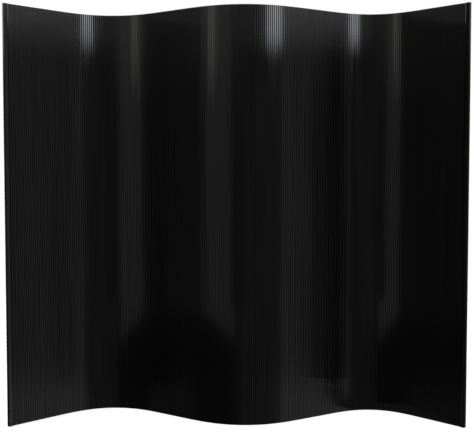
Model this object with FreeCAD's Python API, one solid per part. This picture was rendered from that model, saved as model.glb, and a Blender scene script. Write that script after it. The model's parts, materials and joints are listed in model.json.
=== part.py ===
# Free-standing partition screen made of narrow upright slats glued to one flexible backing.
# It stands in a wave, and each line between two slats folds, so the screen also rolls up.
# Millimetres, +Z up, the front faces -Y, and the origin is on the floor under the middle of the screen.

import FreeCAD, Part
import math
import os

# Overall sizes, with the length taken along the surface from one outer edge to the other
screen_length = 2500.0
screen_height = 1950.0

# Slats, in strips that move as one: a strip is the stretch between two hinge lines
strip_count = 50
slats_per_strip = 5
slat_thickness = 4.5
slat_gap = 0.44
slat_edge_radius = 2.2
slat_crown = 0.1

# Backing behind the slats, a little shorter than they are at the top and the bottom
backing_thickness = 1.0
backing_margin = 2.0
backing_inset = 1.0

# End posts: the backing is clamped between a front batten and a rear batten,
# whose edges are rounded, and much more so beside the slats
post_width = 24.0
batten_thickness = 8.0
batten_outer_radius = 1.5
batten_inner_radius = 6.0
batten_crown = 0.3

# Countersunk screws through the rear batten and the backing into the front batten
screws_per_post = 6
screw_end_distance = 50.0
screw_length = 14.0
screw_radius = 1.5
screw_tip_length = 2.0
screw_head_radius = 3.0
screw_head_height = 1.5
screw_sink = 0.2
screw_clearance = 0.05
recess_length = 3.2
recess_width = 0.7
recess_depth = 1.0
overrun = 1.0

# Wave seen from above, left to right: three bends with flat runs before, between and after them.
# Angles are in degrees, and a positive bend swells the surface towards the front.
entry_angle = 44.1
left_run = 265.0
left_valley_length = 582.0
left_valley_angle = -79.6
left_flank = 130.0
crest_length = 628.0
crest_angle = 67.7
right_flank = 155.0
right_valley_length = 485.0
right_valley_angle = -77.7

half_backing = backing_thickness / 2
slat_count = strip_count * slats_per_strip
slat_pitch = (screen_length - 2 * post_width) / slat_count
bends = [
    (left_run, left_valley_length, left_valley_angle),
    (left_flank, crest_length, crest_angle),
    (right_flank, right_valley_length, right_valley_angle),
]


class Link:
    """One flat stretch of the backing's middle plane: a post or a slat stands on each."""

    def __init__(self, start, direction, length):
        self.start = start
        self.direction = direction
        self.length = length

    def forward(self):
        """The way the front of this stretch faces."""
        return FreeCAD.Vector(math.sin(self.direction), -math.cos(self.direction), 0)

    def at(self, along, ahead, up=0):
        """A point this far along the stretch, ahead of its middle plane, and above the floor."""
        run = FreeCAD.Vector(math.cos(self.direction), math.sin(self.direction), 0)
        return self.start + run * along + self.forward() * ahead + FreeCAD.Vector(0, 0, up)


def surface_direction(distance):
    """Direction of the surface, seen from above, at a distance along it from the left edge."""
    angle = entry_angle
    bend_start = 0
    for flat_run, length, bend_angle in bends:
        bend_start += flat_run
        passed = min(max((distance - bend_start) / length, 0), 1)
        angle += bend_angle * (1 - math.cos(math.pi * passed)) / 2
        bend_start += length
    return math.radians(angle)


def chain_of_links(start):
    """The left post, each slat and the right post, one after the other along the wave."""
    links = []
    distance = 0
    for length in [post_width] + [slat_pitch] * slat_count + [post_width]:
        link = Link(start, surface_direction(distance + length / 2), length)
        links.append(link)
        start = link.at(length, 0)
        distance += length
    return links


def plank_outline(link, left, right, inner, outer, left_radius, right_radius, crown):
    """Section of an upright plank: a flat inner face, and a crowned outer face with rounded edges."""
    side = math.copysign(1, outer - inner)
    edge = outer - side * crown
    left_middle = left_radius * (1 - math.sin(math.pi / 4))
    right_middle = right_radius * (1 - math.sin(math.pi / 4))
    round_left = link.at(left + left_middle, edge - side * left_middle)
    round_right = link.at(right - right_middle, edge - side * right_middle)
    rear_left = link.at(left, inner)
    rear_right = link.at(right, inner)
    side_left = link.at(left, edge - side * left_radius)
    side_right = link.at(right, edge - side * right_radius)
    face_left = link.at(left + left_radius, edge)
    face_right = link.at(right - right_radius, edge)
    top = link.at((left + left_radius + right - right_radius) / 2, outer)
    curves = [
        Part.LineSegment(rear_left, side_left),
        Part.Arc(side_left, round_left, face_left),
        Part.Arc(face_left, top, face_right),
        Part.Arc(face_right, round_right, side_right),
        Part.LineSegment(side_right, rear_right),
        Part.LineSegment(rear_right, rear_left),
    ]
    return Part.Face(Part.Wire([curve.toShape() for curve in curves]))


def slat_outline(link):
    """Section of one slat, glued by its flat face to the front of the backing."""
    return plank_outline(
        link,
        slat_gap / 2,
        link.length - slat_gap / 2,
        half_backing,
        half_backing + slat_thickness,
        slat_edge_radius,
        slat_edge_radius,
        slat_crown,
    )


def batten_outlines(link, left, right, left_radius, right_radius):
    """Sections of a post's front batten and rear batten, one on each side of the backing."""
    faces = [(side * half_backing, side * (half_backing + batten_thickness)) for side in (1, -1)]
    return [
        plank_outline(link, left, right, inner, outer, left_radius, right_radius, batten_crown)
        for inner, outer in faces
    ]


def backing_side(links, ahead):
    """Points of one face of the backing from above, mitred where it folds between two slats."""
    points = [links[0].at(backing_inset, ahead)]
    for before, after in zip(links, links[1:]):
        half_turn = (after.direction - before.direction) / 2
        points.append(after.at(-ahead * math.tan(half_turn), ahead))
    points.append(links[-1].at(links[-1].length - backing_inset, ahead))
    return points


def backing_outline(links):
    """Section of the backing, one sheet from the outer edge of one post to that of the other."""
    front = backing_side(links, half_backing)
    rear = backing_side(links, -half_backing)
    return Part.Face(Part.makePolygon(front + rear[::-1] + front[:1]))


def plan_of(links):
    """Every section from above: the slats, the left and the right battens, and the backing."""
    slats = [slat_outline(link) for link in links[1:-1]]
    batten_gap = slat_gap / 2
    radii = (batten_outer_radius, batten_inner_radius)
    left = batten_outlines(links[0], 0, post_width - batten_gap, *radii)
    right = batten_outlines(links[-1], batten_gap, post_width, *radii[::-1])
    return slats, left, right, backing_outline(links)


def centred_links():
    """The chain of links, moved so that the middle of the screen's box is over the origin."""
    slats, left, right, backing = plan_of(chain_of_links(FreeCAD.Vector()))
    box = Part.Compound(slats + left + right + [backing]).optimalBoundingBox()
    return chain_of_links(-FreeCAD.Vector(box.Center.x, box.Center.y, 0))


def upright(outline, bottom, top):
    """The solid over a section, from one height to another."""
    base = outline.translated(FreeCAD.Vector(0, 0, bottom))
    return base.extrude(FreeCAD.Vector(0, 0, top - bottom))


def screw_places(link):
    """Where each screw of a post enters, in the middle of its width on the rear batten's face."""
    step = (screen_height - 2 * screw_end_distance) / (screws_per_post - 1)
    rear = -half_backing - batten_thickness
    heights = [screw_end_distance + step * i for i in range(screws_per_post)]
    return [link.at(post_width / 2, rear, up) for up in heights]


def shank_and_head(entry, forward, spare):
    """A screw's outer form, widened and lengthened by the room that is left round it."""
    head_start = entry + forward * screw_sink
    neck = head_start + forward * screw_head_height
    shank_length = screw_length - screw_head_height - screw_tip_length
    tip = neck + forward * shank_length
    head = Part.makeCone(
        screw_head_radius + spare, screw_radius + spare, screw_head_height, head_start, forward
    )
    shank = Part.makeCylinder(screw_radius + spare, shank_length, neck, forward)
    point = Part.makeCone(screw_radius + spare, spare, screw_tip_length + spare, tip, forward)
    return head.fuse([shank, point])


def driver_recess(link, entry):
    """The cross in a screw's head."""
    across = link.at(1, 0) - link.at(0, 0)
    upward = FreeCAD.Vector(0, 0, 1)
    forward = link.forward()
    arms = []
    for long_way, short_way in ((across, upward), (upward, across)):
        reach = long_way * (recess_length / 2)
        width = short_way * (recess_width / 2)
        corners = [reach + width, width - reach, -reach - width, reach - width, reach + width]
        arm = Part.Face(Part.makePolygon([entry + corner for corner in corners]))
        arms.append(arm.extrude(forward * (screw_sink + recess_depth)))
    return arms[0].fuse(arms[1])


def screws_of(link):
    """A post's screws."""
    screws = []
    for entry in screw_places(link):
        body = shank_and_head(entry, link.forward(), 0)
        screws.append(body.cut(driver_recess(link, entry)).removeSplitter().Solids[0])
    return screws


def screw_holes(link):
    """The countersunk holes for a post's screws, open at the rear face."""
    forward = link.forward()
    mouth_radius = screw_head_radius + screw_clearance
    holes = []
    for entry in screw_places(link):
        outside = entry - forward * overrun
        mouth = Part.makeCylinder(mouth_radius, overrun + screw_sink, outside, forward)
        holes.append(mouth.fuse(shank_and_head(entry, forward, screw_clearance)))
    return Part.Compound(holes)


def build():
    """Each named piece of the screen and its shape."""
    slats, left, right, backing = plan_of(links)
    left_holes = screw_holes(links[0])
    right_holes = screw_holes(links[-1])
    pieces = {}
    for strip in range(strip_count):
        members = slats[strip * slats_per_strip : (strip + 1) * slats_per_strip]
        solids = [upright(outline, 0, screen_height) for outline in members]
        pieces[f"slats_{strip + 1:02d}"] = Part.Compound(solids)
    for name, outlines, holes in (("left", left, left_holes), ("right", right, right_holes)):
        for place, outline in zip(("front", "rear"), outlines):
            pieces[f"{name}_{place}_batten"] = upright(outline, 0, screen_height).cut(holes)
    sheet = upright(backing, backing_margin, screen_height - backing_margin)
    pieces["backing"] = sheet.cut([left_holes, right_holes])
    pieces["left_batten_screws"] = Part.Compound(screws_of(links[0]))
    pieces["right_batten_screws"] = Part.Compound(screws_of(links[-1]))
    return pieces


links = centred_links()
os.makedirs("parts", exist_ok=True)
for name, shape in build().items():
    shape.exportStep(f"parts/{name}.step")
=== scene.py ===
# Looks of the partition screen: lacquered slats and posts, felt backing, screws, studio and camera.
# Metres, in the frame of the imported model: +Z up, and the slatted front faces -Y.
import json
import math
import random

import bmesh
import bpy
from mathutils import Matrix, Vector, noise


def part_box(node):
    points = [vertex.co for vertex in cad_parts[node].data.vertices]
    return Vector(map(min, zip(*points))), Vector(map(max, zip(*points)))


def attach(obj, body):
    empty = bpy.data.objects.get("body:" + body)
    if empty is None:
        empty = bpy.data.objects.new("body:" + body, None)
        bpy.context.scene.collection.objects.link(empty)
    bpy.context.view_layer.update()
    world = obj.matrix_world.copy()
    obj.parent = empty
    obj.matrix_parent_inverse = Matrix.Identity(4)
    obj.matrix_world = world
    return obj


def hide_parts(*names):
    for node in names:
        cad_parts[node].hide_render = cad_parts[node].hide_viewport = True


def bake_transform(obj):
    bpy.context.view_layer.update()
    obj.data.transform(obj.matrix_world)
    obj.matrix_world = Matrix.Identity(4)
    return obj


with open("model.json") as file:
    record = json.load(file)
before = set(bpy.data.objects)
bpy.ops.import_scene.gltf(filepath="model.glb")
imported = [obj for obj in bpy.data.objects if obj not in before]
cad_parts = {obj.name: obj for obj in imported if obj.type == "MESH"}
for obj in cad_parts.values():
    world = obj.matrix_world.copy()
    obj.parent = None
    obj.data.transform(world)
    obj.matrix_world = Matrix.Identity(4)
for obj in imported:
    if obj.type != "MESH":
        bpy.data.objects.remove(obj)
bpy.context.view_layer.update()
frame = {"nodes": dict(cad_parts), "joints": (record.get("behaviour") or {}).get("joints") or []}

MM = 0.001
UP = Vector((0, 0, 1))

# Meshes: the tolerance for reading the frame, how upright the normal of a level face is at least,
# the angle in degrees above which an edge is sharp, and how finely the sections are drawn
TOUCH = 0.01 * MM
LEVEL = 0.9
SHARP_ANGLE = 30
FELT_SHARP_ANGLE = 40
SHOULDER_STEPS = 6
BATTEN_SHOULDER_STEPS = 10
FACE_STEPS = 6

# Slats: one piece for each strip between two hinge lines. No two slats are alike: each is thinner
# than its solid by the shrink to twice that, and it leans, and twists along its height
SLAT_SHOULDER = 2.2 * MM
SLAT_CROWN = 0.04 * MM
SLAT_SHRINK = 0.05 * MM
SLAT_LEAN = math.radians(0.6)
SLAT_TWIST = math.radians(0.9)
TWISTS_PER_METRE = 2.2
SLAT_STATIONS = 26
SLAT_END_EASE = 0.35 * MM
SLAT_SEED = 7
PHASES = 100

# Battens
BATTEN_OUTER_RADIUS = 1.5 * MM
BATTEN_INNER_RADIUS = 6.0 * MM
BATTEN_CROWN = 0.3 * MM
BATTEN_STATIONS = 12
BATTEN_END_EASE = 0.6 * MM

# Screws in the rear battens, with a rounded rim and a cross recess that narrows towards its floor
SCREW_HEAD_RADIUS = 3.0 * MM
SCREW_HEAD_HEIGHT = 1.5 * MM
SCREW_RIM = 0.12 * MM
SCREW_CROWN_RADIUS = 0.6 * SCREW_HEAD_RADIUS
SCREW_RADIUS = 1.5 * MM
SCREW_LENGTH = 13.9 * MM
SCREW_TIP_LENGTH = 2.0 * MM
SCREW_TIP_RADIUS = 0.2 * MM
SCREW_SINK = 0.2 * MM
SCREW_CLEARANCE = 0.05 * MM
SCREW_SPREAD = 10.0 * MM
RECESS_LENGTH = 3.2 * MM
RECESS_WIDTH = 0.7 * MM
RECESS_DEPTH = 1.0 * MM
RECESS_MOUTH_SHARE = 1.15
RECESS_FLOOR_SHARE = 0.75
RECESS_TURN = math.radians(12)
OVERRUN = MM
ROUND_SEGMENTS = 40

# Felt backing: it dips into the line between two slats, and its rear is rippled
FELT_INSET = 1.0 * MM
FELT_BEND = 2.0 * MM
FELT_DIP = 0.15 * MM
FELT_RIPPLE = 0.04 * MM
RIPPLES_ACROSS = 9
RIPPLES_UP = 7
FELT_STATIONS = 14


# Reading the frame


class Seat:
    """Where a plank stands: its flat face on the backing, from its left corner to its right one."""

    def __init__(self, left, right, thickness):
        self.left = left
        self.right = right
        self.width = (right - left).length
        self.along = (right - left) / self.width
        self.ahead = Vector((self.along.y, -self.along.x, 0))
        self.thickness = thickness

    def at(self, along, ahead, up=0.0):
        return self.left + self.along * along + self.ahead * ahead + UP * up


def islands(work):
    """The groups of points that hang together in a mesh."""
    unseen = set(work.verts)
    while unseen:
        island = {unseen.pop()}
        fresh = set(island)
        while fresh:
            fresh = {other for v in fresh for e in v.link_edges for other in e.verts} - island
            island |= fresh
        unseen -= island
        yield island


def seat_of(foot, low):
    """The seat of a plank: the longest edge of its section, which the points at its foot draw."""

    def on_rim(edge, point):
        in_foot = edge.other_vert(point).co.z < low and len(edge.link_faces) == 2
        return in_foot and len({abs(face.normal.z) > LEVEL for face in edge.link_faces}) == 2

    rim = {edge for v in foot for edge in v.link_edges if on_rim(edge, v)}
    longest = max(rim, key=lambda edge: edge.calc_length())
    left, right = (v.co.copy() for v in longest.verts)
    ahead = Vector((right.y - left.y, left.x - right.x, 0)).normalized()
    reach = [(v.co - left).dot(ahead) for v in foot]
    if abs(min(reach)) > abs(max(reach)):
        return Seat(right, left, -min(reach))
    return Seat(left, right, max(reach))


def seats_of(node):
    """The seats of the planks in a CAD node."""
    work = bmesh.new()
    work.from_mesh(frame["nodes"][node].data)
    bmesh.ops.remove_doubles(work, verts=work.verts, dist=0.1 * TOUCH)
    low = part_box(node)[0].z + TOUCH
    seats = [seat_of([v for v in island if v.co.z < low], low) for island in islands(work)]
    work.free()
    return seats


hinges = [Vector(joint["pos_m"]) for joint in frame["joints"]]
bodies = ["left_post"] + [f"strip_{i + 1:02d}" for i in range(len(hinges) - 1)] + ["right_post"]
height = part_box("slats_01")[1].z
strips = []
for number, start in enumerate(hinges[:-1]):
    found = seats_of(f"slats_{number + 1:02d}")
    strips.append(sorted(found, key=lambda seat: (seat.left + seat.right - 2 * start).length))


# Meshes


def solid(name, parts, sharp_angle=SHARP_ANGLE):
    """An object of closed lofts, each a list of rings with equally many points."""
    points = []
    faces = []
    for rings in parts:
        first = len(points)
        count = len(rings[0])
        for ring in rings:
            points.extend(ring)
        for level in range(len(rings) - 1):
            base = first + level * count
            for i in range(count):
                j = (i + 1) % count
                faces.append((base + i, base + j, base + count + j, base + count + i))
        faces.append(tuple(first + i for i in reversed(range(count))))
        faces.append(tuple(first + (len(rings) - 1) * count + i for i in range(count)))
    mesh = bpy.data.meshes.new(name)
    mesh.from_pydata(points, [], faces)
    finish_mesh(mesh, sharp_angle)
    piece = bpy.data.objects.new(name, mesh)
    bpy.context.scene.collection.objects.link(piece)
    return piece


def finish_mesh(mesh, sharp_angle=SHARP_ANGLE):
    work = bmesh.new()
    work.from_mesh(mesh)
    bmesh.ops.recalc_face_normals(work, faces=work.faces)
    work.to_mesh(mesh)
    work.free()
    mesh.shade_smooth()
    mesh.set_sharp_from_angle(angle=math.radians(sharp_angle))


def arc(centre, radius, start, end, steps):
    """Points of an arc in a section, with angles in degrees."""
    angles = [math.radians(start + (end - start) * i / steps) for i in range(steps + 1)]
    return [(centre[0] + radius * math.cos(a), centre[1] + radius * math.sin(a)) for a in angles]


def section(width, thickness, left_radius, right_radius, crown, steps):
    """(along, ahead) points of a plank: flat on its seat, its face crowned, its edges rounded."""
    edge = thickness - crown
    left = arc((left_radius, edge - left_radius), left_radius, 180, 90, steps)
    right = arc((width - right_radius, edge - right_radius), right_radius, 90, 0, steps)
    span = width - left_radius - right_radius
    face = []
    for i in range(1, FACE_STEPS):
        share = i / FACE_STEPS
        face.append((left_radius + span * share, edge + crown * 4 * share * (1 - share)))
    return [(0, 0)] + left + face + right + [(width, 0)]


def plank_rings(seat, outline, stations, ease, lean_at=lambda z: 0.0):
    """Rings of a plank from its foot to its head, whose ends are eased by a small bevel."""
    between = [ease + (height - 2 * ease) * i / (stations - 1) for i in range(stations)]
    levels = [(0.0, ease)] + [(z, 0.0) for z in between] + [(height, ease)]
    rings = []
    for z, inset in levels:
        lean = lean_at(z)
        ring = []
        for along, ahead in outline:
            lift = ahead / seat.thickness * lean * (along - seat.width / 2)
            x = inset + along * (seat.width - 2 * inset) / seat.width
            y = inset + (ahead + lift) * (seat.thickness - 2 * inset) / seat.thickness
            ring.append(seat.at(x, y, z))
        rings.append(ring)
    return rings


def set_attribute(mesh, name, values):
    mesh.attributes.new(name, "FLOAT", "POINT").data.foreach_set("value", values)


def groove_share(seat, along):
    """0 on a slat's face and 1 at its sides, where the lacquer lies dull in the grooves."""
    depth = 1 - min(along, seat.width - along) / SLAT_SHOULDER
    return min(max(depth, 0.0), 1.0)


def slat_pieces():
    chance = random.Random(SLAT_SEED)
    made = []
    for number, seats in enumerate(strips):
        parts = []
        tones = []
        edges = []
        for seat in seats:
            lean = chance.uniform(-SLAT_LEAN, SLAT_LEAN)
            phase = chance.uniform(0, PHASES)
            thinner = chance.uniform(SLAT_SHRINK, 2 * SLAT_SHRINK)

            def lean_at(z, lean=lean, phase=phase):
                return lean + SLAT_TWIST * noise.noise(Vector((phase, 0, z * TWISTS_PER_METRE)))

            radii = (SLAT_SHOULDER, SLAT_SHOULDER)
            thickness = seat.thickness - thinner
            outline = section(seat.width, thickness, *radii, SLAT_CROWN, SHOULDER_STEPS)
            rings = plank_rings(seat, outline, SLAT_STATIONS, SLAT_END_EASE, lean_at)
            parts.append(rings)
            tones.extend([chance.random()] * (len(rings) * len(rings[0])))
            edges.extend([groove_share(seat, along) for along, _ in outline] * len(rings))
        piece = solid(f"lacquered_slats_{number + 1:02d}", parts)
        set_attribute(piece.data, "slat", tones)
        set_attribute(piece.data, "groove", edges)
        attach(piece, bodies[number + 1])
        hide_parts(f"slats_{number + 1:02d}")
        made.append(piece)
    return made


def turned(profile, entry, forward):
    """Rings of a turned solid: each (depth, radius) of the profile is a ring round the axis."""
    side = forward.cross(UP).normalized()
    angles = [2 * math.pi * i / ROUND_SEGMENTS for i in range(ROUND_SEGMENTS)]
    rings = []
    for depth, radius in profile:
        middle = entry + forward * depth
        ring = [middle + (side * math.cos(a) + UP * math.sin(a)) * radius for a in angles]
        rings.append(ring)
    return rings


def cut(piece, cutters):
    """Takes the cutters out of the piece, and removes them."""
    for cutter in cutters:
        modifier = piece.modifiers.new("cut", "BOOLEAN")
        modifier.operation = "DIFFERENCE"
        modifier.solver = "EXACT"
        modifier.object = cutter
    bpy.context.view_layer.update()
    evaluated = piece.evaluated_get(bpy.context.evaluated_depsgraph_get())
    result = bpy.data.meshes.new_from_object(evaluated)
    piece.modifiers.clear()
    piece.data = result
    for cutter in cutters:
        bpy.data.objects.remove(cutter)


def screw_heights_of(side):
    """Heights of a post's screws, from the groups of points in the CAD node."""
    points = [v.co.z for v in frame["nodes"][f"{side}_batten_screws"].data.vertices]
    groups = []
    for z in sorted(points):
        if not groups or z > groups[-1][-1] + SCREW_SPREAD:
            groups.append([z])
        groups[-1].append(z)
    return [(group[0] + group[-1]) / 2 for group in groups]


def screw_across(side, seat):
    """How far along a rear batten's seat its screws stand."""
    low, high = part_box(f"{side}_batten_screws")
    return ((low + high) / 2 - seat.left).dot(seat.along)


def batten_piece(side, place):
    node = f"{side}_{place}_batten"
    seat = seats_of(node)[0]
    radii = (BATTEN_OUTER_RADIUS, BATTEN_INNER_RADIUS)
    # the seat of a rear batten runs from right to left
    if (side == "left") == (place == "rear"):
        radii = radii[::-1]
    outline = section(seat.width, seat.thickness, *radii, BATTEN_CROWN, BATTEN_SHOULDER_STEPS)
    rings = plank_rings(seat, outline, BATTEN_STATIONS, BATTEN_END_EASE)
    piece = solid(f"lacquered_{node}", [rings])
    if place == "rear":
        mouth = SCREW_HEAD_RADIUS + SCREW_CLEARANCE
        bore = SCREW_RADIUS + SCREW_CLEARANCE
        profile = [
            (-SCREW_HEAD_RADIUS, mouth),
            (SCREW_SINK, mouth),
            (SCREW_SINK + SCREW_HEAD_HEIGHT, bore),
            (seat.thickness + OVERRUN, bore),
        ]
        across = screw_across(side, seat)
        entries = [seat.at(across, seat.thickness, up) for up in screw_heights_of(side)]
        holes = [solid("cutter", [turned(profile, entry, -seat.ahead)]) for entry in entries]
        cut(piece, holes)
        finish_mesh(piece.data)
    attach(piece, f"{side}_post")
    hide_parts(node)
    return piece


def recess_arms(seat, entry, forward):
    """The two arms of the cross that a driver leaves in a screw's head."""
    turn = Matrix.Rotation(RECESS_TURN, 4, forward)
    levels = [(-OVERRUN, RECESS_MOUTH_SHARE), (SCREW_SINK + RECESS_DEPTH, RECESS_FLOOR_SHARE)]
    arms = []
    for long_way, short_way in ((seat.along, UP), (UP, seat.along)):
        rings = []
        for depth, share in levels:
            reach = turn @ long_way * RECESS_LENGTH / 2 * share
            half = turn @ short_way * RECESS_WIDTH / 2 * share
            corners = [reach + half, half - reach, -reach - half, reach - half]
            rings.append([entry + forward * depth + corner for corner in corners])
        arms.append(solid("cutter", [rings]))
    return arms


def screw_piece(side):
    seat = seats_of(f"{side}_rear_batten")[0]
    forward = -seat.ahead
    profile = [
        (SCREW_SINK, SCREW_CROWN_RADIUS),
        (SCREW_SINK + SCREW_RIM * 0.2, SCREW_HEAD_RADIUS - 2 * SCREW_RIM),
        (SCREW_SINK + SCREW_RIM * 0.5, SCREW_HEAD_RADIUS - SCREW_RIM),
        (SCREW_SINK + SCREW_RIM, SCREW_HEAD_RADIUS),
        (SCREW_SINK + SCREW_HEAD_HEIGHT, SCREW_RADIUS),
        (SCREW_LENGTH - SCREW_TIP_LENGTH, SCREW_RADIUS),
        (SCREW_LENGTH, SCREW_TIP_RADIUS),
    ]
    entry = seat.at(screw_across(side, seat), seat.thickness)
    piece = solid(f"{side}_screws", [turned(profile, entry, forward)])
    cut(piece, recess_arms(seat, entry, forward))
    single = piece.data
    work = bmesh.new()
    for up in screw_heights_of(side):
        copy = single.copy()
        copy.transform(Matrix.Translation(UP * up))
        work.from_mesh(copy)
        bpy.data.meshes.remove(copy)
    work.to_mesh(single)
    work.free()
    finish_mesh(single)
    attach(piece, f"{side}_post")
    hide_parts(f"{side}_batten_screws")
    return piece


class Stop:
    """A line across the backing: a point of its front, the way it faces, and how far it dips."""

    def __init__(self, place, ahead, dip=0.0):
        self.place = place
        self.ahead = ahead
        self.dip = dip


def fold_stops(before, after):
    """The stops round the line between two planks, where the backing folds."""
    fold = (before.right + after.left) / 2
    middle = (before.ahead + after.ahead).normalized()
    return [
        Stop(fold - before.along * FELT_BEND, before.ahead),
        Stop(fold - before.along * FELT_BEND / 2, before.ahead, FELT_DIP / 3),
        Stop(fold, middle, FELT_DIP),
        Stop(fold + after.along * FELT_BEND / 2, after.ahead, FELT_DIP / 3),
        Stop(fold + after.along * FELT_BEND, after.ahead),
    ]


def felt_stops():
    """The stops of each stretch of felt, from one strip's middle to the next one's."""
    left = seats_of("left_front_batten")[0]
    right = seats_of("right_front_batten")[0]
    chain = [left] + [seat for strip in strips for seat in strip] + [right]
    per_strip = len(strips[0])
    stretches = []
    starts = (FELT_INSET, left.width / 2)
    stops = [Stop(left.at(along, 0), left.ahead) for along in starts]
    for number, (before, after) in enumerate(zip(chain, chain[1:])):
        stops.extend(fold_stops(before, after))
        stops.append(Stop(after.at(after.width / 2, 0), after.ahead))
        if after is right:
            stops.append(Stop(after.at(after.width - FELT_INSET, 0), after.ahead))
            stretches.append(stops)
        elif number % per_strip == per_strip // 2:
            stretches.append(stops)
            stops = [stops[-1]]
    return stretches


def felt_rings(stops, low, high, thickness):
    """Rings of a stretch of felt, from its foot to its head."""
    rings = []
    for level in range(FELT_STATIONS):
        z = low + (high - low) * level / (FELT_STATIONS - 1)
        face = [stop.place + UP * z for stop in stops]
        back = []
        for stop in stops:
            place = stop.place
            spot = Vector((place.x * RIPPLES_ACROSS, place.y * RIPPLES_ACROSS, z * RIPPLES_UP))
            ripple = FELT_RIPPLE * (1 + noise.noise(spot))
            back.append(place - stop.ahead * (thickness - stop.dip - ripple) + UP * z)
        rings.append(face + back[::-1])
    return rings


def felt_pieces():
    low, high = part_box("backing")
    front = seats_of("left_front_batten")[0]
    rear = seats_of("left_rear_batten")[0]
    thickness = abs((rear.left - front.left).dot(front.ahead))
    made = []
    for number, stops in enumerate(felt_stops()):
        rings = felt_rings(stops, low.z, high.z, thickness)
        piece = solid(f"felt_backing_{number + 1:02d}", [rings], FELT_SHARP_ANGLE)
        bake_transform(piece)
        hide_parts("backing")
        length = sum((b.place - a.place).length for a, b in zip(stops, stops[1:]))
        made.append(piece)
    return made


# Materials: colours are pairs, of the darkest and the lightest tone


LACQUER = ((0.0004, 0.0004, 0.0005), (0.0014, 0.0014, 0.0013))
FELT = ((0.008, 0.008, 0.009), (0.035, 0.035, 0.037))
STEEL = ((0.03, 0.03, 0.032), (0.09, 0.088, 0.085))
LACQUER_IOR = 1.5

# Grain and brush marks: changes per metre across and along the height, and detail
SLAT_GRAIN = (900, 9, 3)
SLAT_BRUSHING = (160, 1.6, 2)
POST_GRAIN = (500, 4, 4)
POST_BRUSHING = (90, 1.2, 2)

# Knots of the bamboo: their distance, how far it shifts from slat to slat, and a knot's share of it
KNOT_DISTANCE = 0.31
KNOT_SHIFT = 23.0
KNOT_SHARE = 0.012


class Tree:
    """A node tree that is built one node at a time."""

    def __init__(self, tree):
        self.tree = tree
        tree.nodes.clear()

    def add(self, kind, inputs=None, **settings):
        node = self.tree.nodes.new(kind)
        for key, value in settings.items():
            setattr(node, key, value)
        for key, value in (inputs or {}).items():
            socket = node.inputs[key]
            if isinstance(value, bpy.types.NodeSocket):
                self.tree.links.new(value, socket)
            else:
                socket.default_value = value
        return node

    def math(self, operation, a, b=0.0):
        return self.add("ShaderNodeMath", {0: a, 1: b}, operation=operation).outputs[0]

    def ramp(self, value, low, high, to_low=0.0, to_high=1.0):
        """A smooth step from one value to another, between low and high."""
        ends = {"From Min": low, "From Max": high, "To Min": to_low, "To Max": to_high}
        inputs = {"Value": value, **ends}
        return self.add("ShaderNodeMapRange", inputs, interpolation_type="SMOOTHSTEP").outputs[0]

    def window(self, value, low, high, soft):
        """1 between low and high, with soft edges of that width."""
        rise = self.ramp(value, low - soft / 2, low + soft / 2)
        fall = self.ramp(value, high - soft / 2, high + soft / 2, 1.0, 0.0)
        return self.math("MULTIPLY", rise, fall)

    def weighted(self, *terms):
        """The sum of values, each with its weight."""
        total = None
        for value, weight in terms:
            term = self.math("MULTIPLY", value, weight)
            total = term if total is None else self.math("ADD", total, term)
        return total

    def tint(self, share, colours):
        """A colour between the darkest and the lightest one."""
        dark, light = colours
        inputs = {0: share, 6: (*dark, 1), 7: (*light, 1)}
        return self.add("ShaderNodeMix", inputs, data_type="RGBA").outputs[2]

    def place(self):
        return self.add("ShaderNodeTexCoord").outputs["Object"]

    def noise(self, scale, detail, distortion=0.0):
        inputs = {"Vector": self.place(), "Scale": scale, "Detail": detail}
        inputs["Distortion"] = distortion
        return self.add("ShaderNodeTexNoise", inputs).outputs[0]

    def grain(self, across, along, detail):
        """Noise drawn out along the height, as grain is."""
        inputs = {"Vector": self.place(), "Scale": (across, across, along)}
        scaled = self.add("ShaderNodeMapping", inputs).outputs[0]
        inputs = {"Vector": scaled, "Scale": 1.0, "Detail": detail, "Roughness": 0.5}
        return self.add("ShaderNodeTexNoise", inputs).outputs[0]

    def attribute(self, name):
        return self.add("ShaderNodeAttribute", attribute_name=name).outputs["Fac"]

    def bump(self, relief, strength, distance):
        inputs = {"Strength": strength, "Distance": distance, "Height": relief}
        return self.add("ShaderNodeBump", inputs).outputs[0]

    def seen_plainly(self):
        """1 for what the camera sees, also through glass."""
        path = self.add("ShaderNodeLightPath").outputs
        return self.math("MAXIMUM", path["Is Camera Ray"], path["Is Transmission Ray"])

    def finish(self, shader_inputs):
        shader = self.add("ShaderNodeBsdfPrincipled", shader_inputs)
        self.add("ShaderNodeOutputMaterial", {"Surface": shader.outputs[0]})


def new_material(name):
    material = bpy.data.materials.new(name)
    material.use_nodes = True
    return material, Tree(material.node_tree)


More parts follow.
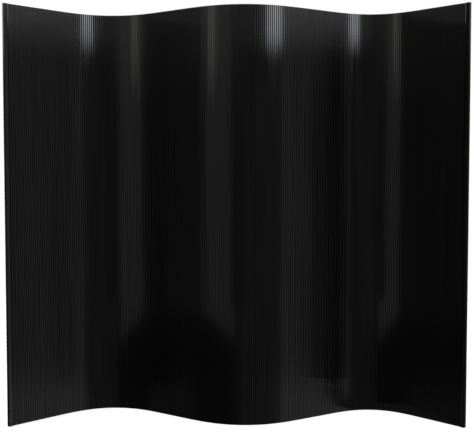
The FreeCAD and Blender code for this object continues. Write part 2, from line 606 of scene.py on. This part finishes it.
def slat_lacquer():
    """Glossy black lacquer over bamboo: fine grain, faint knots, and slats that differ a little."""
    material, tree = new_material("slat_lacquer")
    grain = tree.grain(*SLAT_GRAIN)
    brushing = tree.grain(*SLAT_BRUSHING)
    slat = tree.attribute("slat")
    groove = tree.attribute("groove")
    up = tree.add("ShaderNodeSeparateXYZ", {0: tree.place()}).outputs["Z"]
    shift = tree.math("MULTIPLY", slat, KNOT_SHIFT)
    knot_place = tree.math("ADD", tree.math("DIVIDE", up, KNOT_DISTANCE), shift)
    off_knot = tree.math("ABSOLUTE", tree.math("SUBTRACT", tree.math("FRACT", knot_place), 0.5))
    knot = tree.ramp(off_knot, 0.0, KNOT_SHARE, 1.0, 0.0)
    relief = tree.weighted((grain, 0.25), (brushing, 0.6), (knot, 0.35))
    dull = tree.ramp(groove, 0.15, 0.7)
    roughness = tree.weighted((brushing, 0.05), (slat, 0.02), (dull, 0.12))
    in_grooves = tree.ramp(groove, 0.05, 0.6, 0.5, 0.32)
    specular = tree.math("MULTIPLY", in_grooves, tree.ramp(brushing, 0.25, 0.75, 0.82, 1.12))
    tree.finish({
        "Base Color": tree.tint(tree.weighted((grain, 0.6), (slat, 0.4)), LACQUER),
        "Roughness": tree.math("ADD", roughness, 0.03),
        "Specular IOR Level": specular,
        "IOR": LACQUER_IOR,
        "Normal": tree.bump(relief, 0.05, 0.2 * MM),
    })
    return material


def post_lacquer():
    """The same lacquer over solid wood, with a longer and fainter grain."""
    material, tree = new_material("post_lacquer")
    grain = tree.grain(*POST_GRAIN)
    brushing = tree.grain(*POST_BRUSHING)
    relief = tree.weighted((grain, 0.4), (brushing, 0.6))
    tree.finish({
        "Base Color": tree.tint(grain, LACQUER),
        "Roughness": tree.math("ADD", tree.math("MULTIPLY", brushing, 0.06), 0.07),
        "IOR": LACQUER_IOR,
        "Normal": tree.bump(relief, 0.08, 0.2 * MM),
    })
    return material


def felt_material():
    """Black non-woven felt: tangled fibres, a few of them paler, and no shine."""
    material, tree = new_material("backing_felt")
    tangle = tree.noise(900.0, 4.0, 2.5)
    clumps = tree.noise(60.0, 3.0)
    fibres = tree.noise(420.0, 2.0, 6.0)
    pale = tree.ramp(fibres, 0.60, 0.72)
    tree.finish({
        "Base Color": tree.tint(tree.weighted((tangle, 0.5), (clumps, 0.5), (pale, 0.5)), FELT),
        "Roughness": 1.0,
        "Specular IOR Level": 0.1,
        "Sheen Weight": 0.15,
        "Sheen Roughness": 0.6,
        "Normal": tree.bump(tree.weighted((tangle, 1.0), (clumps, 0.8)), 0.5, 0.4 * MM),
    })
    return material


def screw_steel():
    """Blackened steel with the marks of tumbling."""
    material, tree = new_material("screw_steel")
    marks = tree.noise(1500.0, 3.0)
    tree.finish({
        "Base Color": tree.tint(marks, STEEL),
        "Metallic": 1.0,
        "Roughness": tree.ramp(marks, 0.2, 0.8, 0.28, 0.5),
        "Normal": tree.bump(marks, 0.2, 0.05 * MM),
    })
    return material


# Studio


FLOOR_SIZE = 9.0
FLOOR_GLOW = 0.77
FLOOR_GREY = 0.42
ROUGH_LIGHT = 0.45

# What the lacquer mirrors, seen from the screen: directions in degrees, with 0 towards the camera,
# positive to the right and up, each with the width of its soft edges, its brightness and its colour
NEUTRAL = (1.0, 1.0, 1.0)
COOL = (0.95, 0.97, 1.03)
WARM = (1.06, 1.0, 0.90)
STUDIO = [
    # name, from, to, soft, lowest, highest, soft, brightness, colour
    ("room", -181, 181, 1, -91, 91, 1, 0.032, NEUTRAL),
    ("front", -10, 62, 12, -91, 7.0, 4, 0.118, NEUTRAL),
    ("right wall", 52, 98, 8, -91, 91, 1, 0.325, NEUTRAL),
    ("far right", 96, 145, 8, -91, 91, 1, 0.24, NEUTRAL),
    ("left wall", -60.5, -17, 8, -91, 91, 1.0, 0.36, NEUTRAL),
    ("far left", -140, -59, 8, -91, 91, 1.0, 0.024, NEUTRAL),
    ("key softbox", 33.5, 53.5, 5, 8.3, 91, 1.8, 7.4, COOL),
    ("key spill", 44, 92, 16, 10.4, 91, 2.4, 0.46, NEUTRAL),
    ("strip softbox", -55.5, -45.5, 5, 6.4, 91, 5.0, 1.45, WARM),
    ("left glow", -95, -60, 10, 9.2, 91, 3.0, 0.06, NEUTRAL),
    ("near floor on the right", 50, 100, 12, -91, -13, 3, 0.20, NEUTRAL),
    ("near floor on the left", -100, -70, 8, -91, -13, 3, 0.06, NEUTRAL),
    ("low floor", -181, 181, 1, -91, -19, 4, 0.26, NEUTRAL),
    ("backlight on the right", 106, 181, 6, 7.5, 18, 3, 3.0, NEUTRAL),
    ("backlight on the left", -181, -106, 6, 7.5, 18, 3, 3.0, NEUTRAL),
    ("backdrop on the right", 96, 181, 6, 14, 91, 8, 1.0, NEUTRAL),
    ("backdrop on the left", -181, -96, 6, 14, 91, 8, 1.0, NEUTRAL),
]
# The floor that is mirrored in front hides these, and its far edge lies lower to the right
BEHIND_FLOOR = ("left wall", "far left")
FAR_EDGE = -11.7
FAR_EDGE_SLOPE = -0.042
FAR_EDGE_SOFT = 0.6

# Dark cards, seen only in the reflections, the one on the floor a painted shadow of the screen in
# its right valley: name, corners, brightness, and the heights between which they fade out
CARDS = [
    (
        "card_in_front",
        [(-1.46, -3.4, 0), (0.1, -3.4, 0), (0.1, -3.4, 3), (-1.46, -3.4, 3)],
        0.085,
        (2.9, 3.0),
    ),
    (
        "card_on_the_right",
        [(1.13, -0.3, 0), (1.13, -0.12, 0), (1.13, -0.12, 2), (1.13, -0.3, 2)],
        0.12,
        (1.5, 2.0),
    ),
    # Painted shadow: a dark card in the right valley, which the lacquer mirrors in place of the
    # screen's shadow on the floor
    (
        "painted_floor_shadow_card",
        [(0.61, 0.03, 0), (1.01, -0.17, 0), (0.8, 0.16, 0), (0.59, 0.13, 0)],
        0.14,
        (2.9, 3.0),
    ),
]

# Lamps, which light the rough surfaces and the floor: name, place, watts, size
LAMPS = [
    ("key", (2.9, -3.4, 3.1), 125, 1.8),
    ("fill", (-3.4, -2.6, 2.2), 60, 1.6),
    ("back_left", (-2.8, 3.4, 2.8), 35, 1.8),
    ("back_right", (3.0, 3.0, 2.4), 28, 1.8),
]
LAMP_TARGET = (0, 0, 0.9)

# Camera, from the slopes of the posts and both edges of the screen in the photograph
IMAGE_WIDTH = 474
FOCAL_PIXELS = 868
CAMERA_PLACE = (0.0037, -4.137, 1.1828)
CAMERA_PITCH = 2.894
SENSOR = 36.0


def studio_world():
    """White to the camera, dim and plain to rough surfaces, and a studio to the lacquer."""
    world = bpy.data.worlds.new("studio")
    bpy.context.scene.world = world
    world.use_nodes = True
    tree = Tree(world.node_tree)
    way = tree.add("ShaderNodeTexCoord").outputs["Generated"]
    x, y, z = tree.add("ShaderNodeSeparateXYZ", {0: way}).outputs
    degrees = math.degrees(1)
    heading = tree.math("ARCTAN2", x, tree.math("MULTIPLY", y, -1.0))
    azimuth = tree.math("MULTIPLY", heading, degrees)
    elevation = tree.math("MULTIPLY", tree.math("ARCSINE", z), degrees)
    edge = tree.math("ADD", tree.math("MULTIPLY", azimuth, FAR_EDGE_SLOPE), FAR_EDGE)
    above_edge = tree.math("SUBTRACT", elevation, edge)
    over_edge = tree.ramp(above_edge, -FAR_EDGE_SOFT, FAR_EDGE_SOFT)
    seen = None
    for name, left, right, soft, low, high, soft_up, brightness, colour in STUDIO:
        sideways = tree.window(azimuth, left, right, soft)
        part = tree.math("MULTIPLY", sideways, tree.window(elevation, low, high, soft_up))
        if name in BEHIND_FLOOR:
            part = tree.math("MULTIPLY", part, over_edge)
        tint = [share * brightness for share in colour]
        light = tree.add("ShaderNodeVectorMath", {0: tint, 3: part}, operation="SCALE").outputs[0]
        if seen is not None:
            both = {0: seen, 1: light}
            light = tree.add("ShaderNodeVectorMath", both, operation="ADD").outputs[0]
        seen = light
    plain = tree.math("MULTIPLY", tree.seen_plainly(), 1.0 - ROUGH_LIGHT)
    base = tree.math("ADD", plain, ROUGH_LIGHT)
    glossy = tree.add("ShaderNodeLightPath").outputs["Is Glossy Ray"]
    colour = tree.add("ShaderNodeMix", {0: glossy, 6: base, 7: seen}, data_type="RGBA").outputs[2]
    shader = tree.add("ShaderNodeBackground", {"Color": colour, "Strength": 1.0})
    tree.add("ShaderNodeOutputWorld", {"Surface": shader.outputs[0]})


def stage_plane(name, corners):
    """A plane that belongs to the studio, and the tree of its material."""
    mesh = bpy.data.meshes.new(name)
    mesh.from_pydata(corners, [], [(0, 1, 2, 3)])
    piece = bpy.data.objects.new(name, mesh)
    bpy.context.scene.collection.objects.link(piece)
    material, tree = new_material(name)
    mesh.materials.append(material)
    return piece, tree


def floor():
    """Plain white floor, which keeps the screen's soft shadow."""
    half = FLOOR_SIZE / 2
    corners = [(-half, -half, 0), (half, -half, 0), (half, half, 0), (-half, half, 0)]
    ground, tree = stage_plane("floor", corners)
    lit = tree.add("ShaderNodeBsdfDiffuse", {"Color": (FLOOR_GREY, FLOOR_GREY, FLOOR_GREY, 1)})
    strength = tree.math("MULTIPLY", tree.seen_plainly(), FLOOR_GLOW)
    glow = tree.add("ShaderNodeEmission", {"Color": (1, 1, 1, 1), "Strength": strength})
    both = tree.add("ShaderNodeAddShader", {0: lit.outputs[0], 1: glow.outputs[0]})
    tree.add("ShaderNodeOutputMaterial", {"Surface": both.outputs[0]})
    ground.visible_glossy = False


def card(name, corners, brightness, fade):
    """Card that darkens part of what the lacquer mirrors."""
    piece, tree = stage_plane(name, corners)
    up = tree.add("ShaderNodeSeparateXYZ", {0: tree.place()}).outputs["Z"]
    glow = tree.add("ShaderNodeEmission", {"Color": (1, 1, 1, 1), "Strength": brightness})
    clear = tree.add("ShaderNodeBsdfTransparent")
    shares = {0: tree.ramp(up, *fade), 1: glow.outputs[0], 2: clear.outputs[0]}
    faded = tree.add("ShaderNodeMixShader", shares)
    tree.add("ShaderNodeOutputMaterial", {"Surface": faded.outputs[0]})
    piece.visible_camera = False
    piece.visible_diffuse = False
    piece.visible_shadow = False
    piece.visible_transmission = False
    piece.visible_volume_scatter = False


def lamp(name, place, watts, size):
    data = bpy.data.lights.new(name, "AREA")
    data.energy = watts
    data.size = size
    light = bpy.data.objects.new(name, data)
    light.location = place
    way = Vector(LAMP_TARGET) - Vector(place)
    light.rotation_euler = way.to_track_quat("-Z", "Y").to_euler()
    light.visible_glossy = False
    light.visible_camera = False
    bpy.context.scene.collection.objects.link(light)


def camera():
    data = bpy.data.cameras.new("camera")
    data.sensor_width = SENSOR
    data.lens = FOCAL_PIXELS / IMAGE_WIDTH * SENSOR
    view = bpy.data.objects.new("camera", data)
    view.location = CAMERA_PLACE
    view.rotation_euler = (math.radians(90 - CAMERA_PITCH), 0, 0)
    bpy.context.scene.collection.objects.link(view)
    bpy.context.scene.camera = view


lacquer = slat_lacquer()
for piece in slat_pieces():
    piece.data.materials.append(lacquer)
wood = post_lacquer()
steel = screw_steel()
felt = felt_material()
for side in ("left", "right"):
    for place in ("front", "rear"):
        batten_piece(side, place).data.materials.append(wood)
    screw_piece(side).data.materials.append(steel)
for piece in felt_pieces():
    piece.data.materials.append(felt)
studio_world()
floor()
for values in CARDS:
    card(*values)
for values in LAMPS:
    lamp(*values)
camera()
bpy.context.scene.view_settings.view_transform = "Standard"
